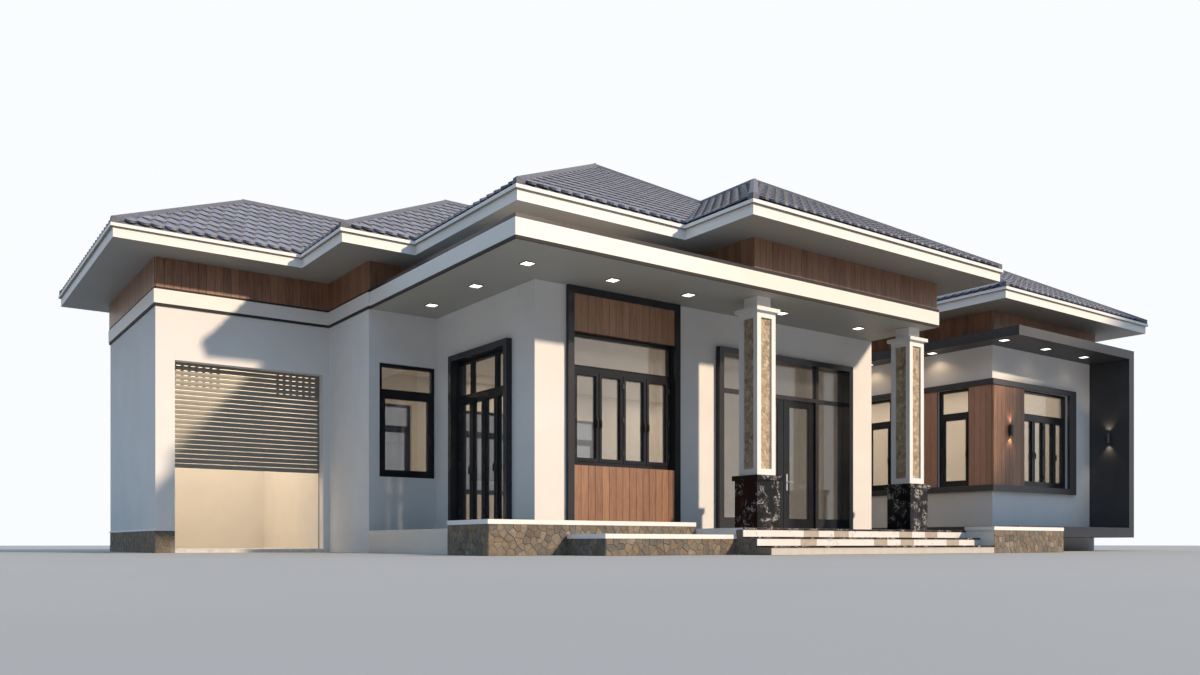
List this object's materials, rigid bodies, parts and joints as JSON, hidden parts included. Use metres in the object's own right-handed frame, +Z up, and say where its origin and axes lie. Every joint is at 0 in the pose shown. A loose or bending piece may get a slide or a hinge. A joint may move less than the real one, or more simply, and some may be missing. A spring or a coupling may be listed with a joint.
{
  "type": "single-storey house with attached garage",
  "caption": "Single-storey house with hip roofs, a columned porch, an attached garage and a wing in a dark frame.",
  "frame": {"origin": "middle of the whole house's base, at driveway level", "axes": "+X to the right along the fronts, +Y from the porch to the back, +Z up"},
  "size_m": [20.43, 13.17, 7.9612],
  "materials": {
    "plaster": "painted smooth render, off-white",
    "white_trim": "white painted trim, satin",
    "floor_stone": "pale stone paving, honed",
    "rubble_stone": "rough brown-beige split stone",
    "stone_mosaic": "beige-brown stone mosaic",
    "dark_marble": "black marble with white veins, polished",
    "roof_tile": "matt grey interlocking roof tile",
    "boards": "reddish brown vertical boards, satin",
    "charcoal_metal": "charcoal powder coat",
    "window_glass": "clear float glass",
    "shutter_metal": "light grey-beige slats, satin",
    "steel": "brushed",
    "lamp_white": "warm white diffuser"
  },
  "bodies": {
    "house": {"house_floor": "floor_stone", "garage_floor": "floor_stone", "porch_floor": "floor_stone", "step_risers": "floor_stone", "step_treads": "dark_marble", "left_planters": "rubble_stone", "right_planter": "rubble_stone", "planter_copings": "white_trim", "column_bases": "dark_marble", "column_shafts": "white_trim", "column_panels": "stone_mosaic", "garage_left_wall": "plaster", "garage_back_wall": "plaster", "garage_front_piers": "plaster", "garage_front_lintel": "plaster", "garage_partition": "plaster", "side_front_wall": "plaster", "main_left_wall": "plaster", "main_front_piers": "plaster", "main_front_lintel": "plaster", "main_right_wall": "plaster", "link_front_wall": "plaster", "wing_left_wall": "plaster", "wing_front_wall": "plaster", "wing_right_wall": "plaster", "back_wall": "plaster", "ceiling_slab": "white_trim", "porch_canopy": "white_trim", "belt_course": "white_trim", "dark_strip": "charcoal_metal", "board_band": "boards", "entrance_parapet": "boards", "soffit": "white_trim", "fascia": "white_trim", "garage_roof": "roof_tile", "middle_roof": "roof_tile", "main_roof": "roof_tile", "entrance_roof": "roof_tile", "link_roof": "roof_tile", "wing_roof": "roof_tile", "ridge_caps": "roof_tile", "wing_frame": "charcoal_metal", "window_bands": "charcoal_metal", "board_panels": "boards", "window_frames": "charcoal_metal", "window_glass": "window_glass", "front_window_surround": "charcoal_metal", "side_window_surround": "charcoal_metal", "entrance_frame": "charcoal_metal", "door_hinges": "charcoal_metal", "garage_shutter": "shutter_metal", "shutter_guides": "shutter_metal", "downlights": "lamp_white", "wall_lamps": "charcoal_metal"},
    "left_leaf": {"left_door": "charcoal_metal", "left_door_glass": "window_glass"},
    "right_leaf": {"right_door": "charcoal_metal", "right_door_glass": "window_glass", "door_lever": "steel"}
  },
  "joints": [
    {"name": "left_leaf_hinge", "type": "hinge", "parent": "house", "child": "left_leaf", "pos_m": [-0.536, -3.225, 0.383], "axis": [0, 0, 1], "range_deg": [0, 90]},
    {"name": "right_leaf_hinge", "type": "hinge", "parent": "house", "child": "right_leaf", "pos_m": [1.096, -3.225, 0.383], "axis": [0, 0, -1], "range_deg": [0, 90]}
  ]
}
